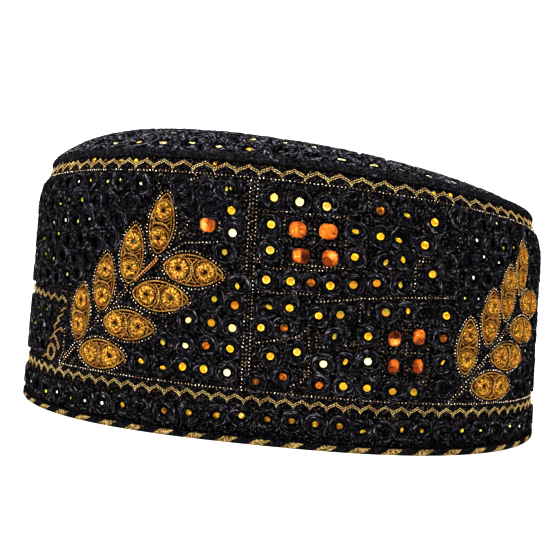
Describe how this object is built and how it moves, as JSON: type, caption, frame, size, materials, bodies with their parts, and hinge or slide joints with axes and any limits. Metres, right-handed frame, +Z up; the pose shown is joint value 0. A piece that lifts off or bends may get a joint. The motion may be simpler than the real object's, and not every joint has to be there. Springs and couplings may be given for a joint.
{
  "type": "stiff oval skullcap",
  "caption": "Stiff oval skullcap: upright band with raised gold leaf branches and cut mirrors, low domed crown, rolled seam welt and striped rim binding.",
  "frame": {"origin": "middle of the rim's outline, on the surface that the rim rests on", "axes": "+X along the long way of the head hollow, -Y towards the face shown in the picture, +Z up from rim to crown"},
  "size_m": [0.2, 0.18, 0.0998],
  "materials": {
    "black_cloth": "matte black satin-stitched cotton",
    "black_cord": "black rayon cord, soft sheen",
    "gold_thread": "metallic gold couched thread",
    "gold_tape": "black tape with slanted gold stripes",
    "gold_sequin": "shiny gold sequin",
    "orange_mirror": "orange cut mirror",
    "inner_cloth": "plain black cotton"
  },
  "bodies": {
    "root": {"crown": "black_cloth", "crown_welt": "black_cord", "side_band": "black_cloth", "edge_binding": "gold_tape", "leaf_branch_1": "gold_thread", "leaf_branch_2": "gold_thread", "leaf_branch_3": "gold_thread", "leaf_branch_4": "gold_thread", "mirror_1": "orange_mirror", "mirror_2": "orange_mirror", "mirror_3": "orange_mirror", "mirror_4": "orange_mirror", "mirror_5": "orange_mirror", "mirror_6": "orange_mirror", "mirror_7": "orange_mirror", "mirror_8": "orange_mirror", "mirror_9": "orange_mirror", "mirror_10": "orange_mirror", "mirror_11": "orange_mirror", "mirror_12": "orange_mirror", "mirror_13": "orange_mirror", "mirror_14": "orange_mirror", "mirror_15": "orange_mirror", "mirror_16": "orange_mirror", "mirror_17": "orange_mirror", "mirror_18": "orange_mirror"}
  },
  "joints": []
}
